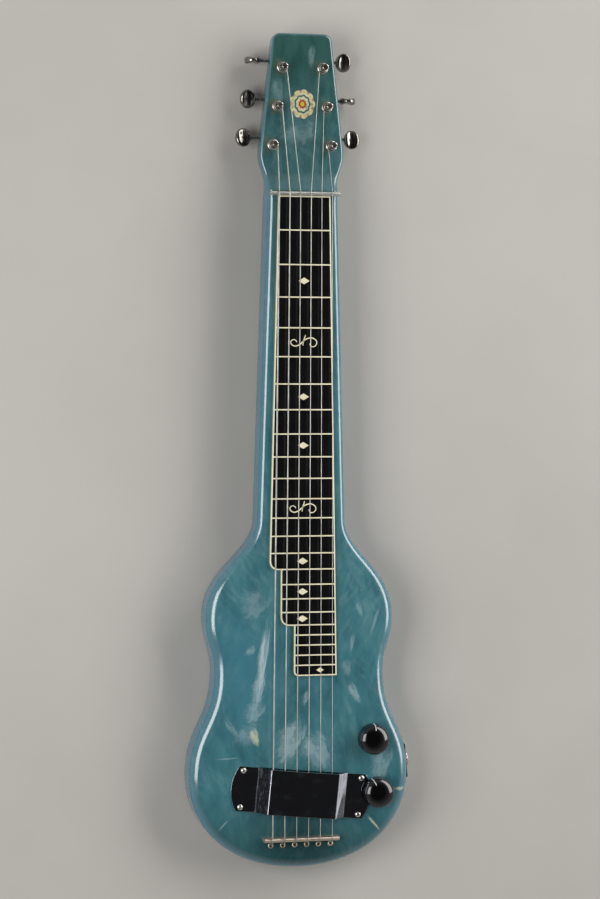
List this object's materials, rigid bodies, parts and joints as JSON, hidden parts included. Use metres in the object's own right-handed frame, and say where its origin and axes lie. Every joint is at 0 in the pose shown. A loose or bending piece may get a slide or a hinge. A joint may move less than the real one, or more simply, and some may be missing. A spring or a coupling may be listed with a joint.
{
  "type": "lap steel guitar",
  "caption": "Lap steel guitar: waisted plank in pearl sheet, with inlaid fretboard, metal nut and bridge, wound strings, bent pickup cover, knobs, worm tuners and side jack.",
  "frame": {"origin": "on the back face, in the middle, under the waist of the body", "axes": "+Z out of the playing face, +Y towards the head, +X towards the treble side"},
  "size_m": [0.2022, 0.7402, 0.0525],
  "materials": {
    "wood": "bare maple",
    "pearl_sheet": "glossy blue pearl celluloid",
    "cream_sheet": "aged cream celluloid",
    "black_sheet": "satin black",
    "chrome": "polished, lightly scratched",
    "nickel": "worn nickel plate",
    "brass": "dull",
    "string_steel": "bright wire",
    "screw_steel": "worn plate",
    "magnet_steel": "dull",
    "copper_wire": "enamelled wire",
    "bakelite": "glossy",
    "waxed_paper": "waxed",
    "wire_cover": "matt"
  },
  "bodies": {
    "instrument": {"wood_body": "wood", "pearloid_front": "pearl_sheet", "pearloid_back": "pearl_sheet", "fretboard_cream_layer": "cream_sheet", "fretboard_black_layer": "black_sheet", "fret_line_lattice": "cream_sheet", "nut": "nickel", "bridge": "nickel", "string_eyelet_1": "brass", "string_eyelet_2": "brass", "string_eyelet_3": "brass", "string_eyelet_4": "brass", "string_eyelet_5": "brass", "string_eyelet_6": "brass", "string_1": "string_steel", "string_2": "string_steel", "string_3": "string_steel", "string_4": "string_steel", "string_5": "string_steel", "string_6": "string_steel", "tuner_bushing_1": "nickel", "tuner_bushing_2": "nickel", "tuner_bushing_3": "nickel", "tuner_bushing_4": "nickel", "tuner_bushing_5": "nickel", "tuner_bushing_6": "nickel", "tuner_plate_bass": "nickel", "tuner_plate_treble": "nickel", "pickup_cover": "chrome", "pickup_coil": "copper_wire", "pickup_magnet": "magnet_steel", "cover_screw_1": "screw_steel", "cover_screw_2": "screw_steel", "cover_screw_3": "screw_steel", "cover_screw_4": "screw_steel", "volume_pot": "nickel", "tone_pot": "nickel", "tone_capacitor": "waxed_paper", "pickup_lead": "wire_cover", "control_pocket_cover": "black_sheet", "pocket_cover_screw_1": "screw_steel", "pocket_cover_screw_2": "screw_steel", "jack_plate": "chrome", "output_jack": "nickel", "jack_plate_screw_1": "screw_steel", "jack_plate_screw_2": "screw_steel"},
    "key_1": {"tuner_key_1": "nickel"},
    "key_2": {"tuner_key_2": "nickel"},
    "key_3": {"tuner_key_3": "nickel"},
    "key_4": {"tuner_key_4": "nickel"},
    "key_5": {"tuner_key_5": "nickel"},
    "key_6": {"tuner_key_6": "nickel"},
    "post_1": {"tuner_post_1": "nickel"},
    "post_2": {"tuner_post_2": "nickel"},
    "post_3": {"tuner_post_3": "nickel"},
    "post_4": {"tuner_post_4": "nickel"},
    "post_5": {"tuner_post_5": "nickel"},
    "post_6": {"tuner_post_6": "nickel"},
    "volume": {"volume_knob": "bakelite"},
    "tone": {"tone_knob": "bakelite"}
  },
  "joints": [
    {"name": "key_1_turn", "type": "hinge", "parent": "instrument", "child": "key_1", "pos_m": [-0.0265, 0.47475, 0.0095], "axis": [-1, 0, 0], "continuous": true},
    {"name": "key_2_turn", "type": "hinge", "parent": "instrument", "child": "key_2", "pos_m": [-0.0224, 0.50885, 0.0095], "axis": [-1, 0, 0], "continuous": true},
    {"name": "key_3_turn", "type": "hinge", "parent": "instrument", "child": "key_3", "pos_m": [-0.0183, 0.54295, 0.0095], "axis": [-1, 0, 0], "continuous": true},
    {"name": "key_4_turn", "type": "hinge", "parent": "instrument", "child": "key_4", "pos_m": [0.0183, 0.54295, 0.0095], "axis": [1, 0, 0], "continuous": true},
    {"name": "key_5_turn", "type": "hinge", "parent": "instrument", "child": "key_5", "pos_m": [0.0224, 0.50885, 0.0095], "axis": [1, 0, 0], "continuous": true},
    {"name": "key_6_turn", "type": "hinge", "parent": "instrument", "child": "key_6", "pos_m": [0.0265, 0.47475, 0.0095], "axis": [1, 0, 0], "continuous": true},
    {"name": "post_1_turn", "type": "hinge", "parent": "instrument", "child": "post_1", "pos_m": [-0.0265, 0.4675, 0.0095], "axis": [0, 0, 1], "continuous": true},
    {"name": "post_2_turn", "type": "hinge", "parent": "instrument", "child": "post_2", "pos_m": [-0.0224, 0.5016, 0.0095], "axis": [0, 0, 1], "continuous": true},
    {"name": "post_3_turn", "type": "hinge", "parent": "instrument", "child": "post_3", "pos_m": [-0.0183, 0.5357, 0.0095], "axis": [0, 0, 1], "continuous": true},
    {"name": "post_4_turn", "type": "hinge", "parent": "instrument", "child": "post_4", "pos_m": [0.0183, 0.5357, 0.0095], "axis": [0, 0, 1], "continuous": true},
    {"name": "post_5_turn", "type": "hinge", "parent": "instrument", "child": "post_5", "pos_m": [0.0224, 0.5016, 0.0095], "axis": [0, 0, 1], "continuous": true},
    {"name": "post_6_turn", "type": "hinge", "parent": "instrument", "child": "post_6", "pos_m": [0.0265, 0.4675, 0.0095], "axis": [0, 0, 1], "continuous": true},
    {"name": "volume_turn", "type": "hinge", "parent": "instrument", "child": "volume", "pos_m": [0.06499, -0.0593, 0.039], "axis": [0, 0, 1], "range_deg": [-150, 150]},
    {"name": "tone_turn", "type": "hinge", "parent": "instrument", "child": "tone", "pos_m": [0.06968, -0.1071, 0.039], "axis": [0, 0, 1], "range_deg": [-150, 150]}
  ],
  "couplings": [
    {"joint": "post_1_turn", "follows": "key_1_turn", "ratio": 0.071429},
    {"joint": "post_2_turn", "follows": "key_2_turn", "ratio": 0.071429},
    {"joint": "post_3_turn", "follows": "key_3_turn", "ratio": 0.071429},
    {"joint": "post_4_turn", "follows": "key_4_turn", "ratio": 0.071429},
    {"joint": "post_5_turn", "follows": "key_5_turn", "ratio": 0.071429},
    {"joint": "post_6_turn", "follows": "key_6_turn", "ratio": 0.071429}
  ]
}
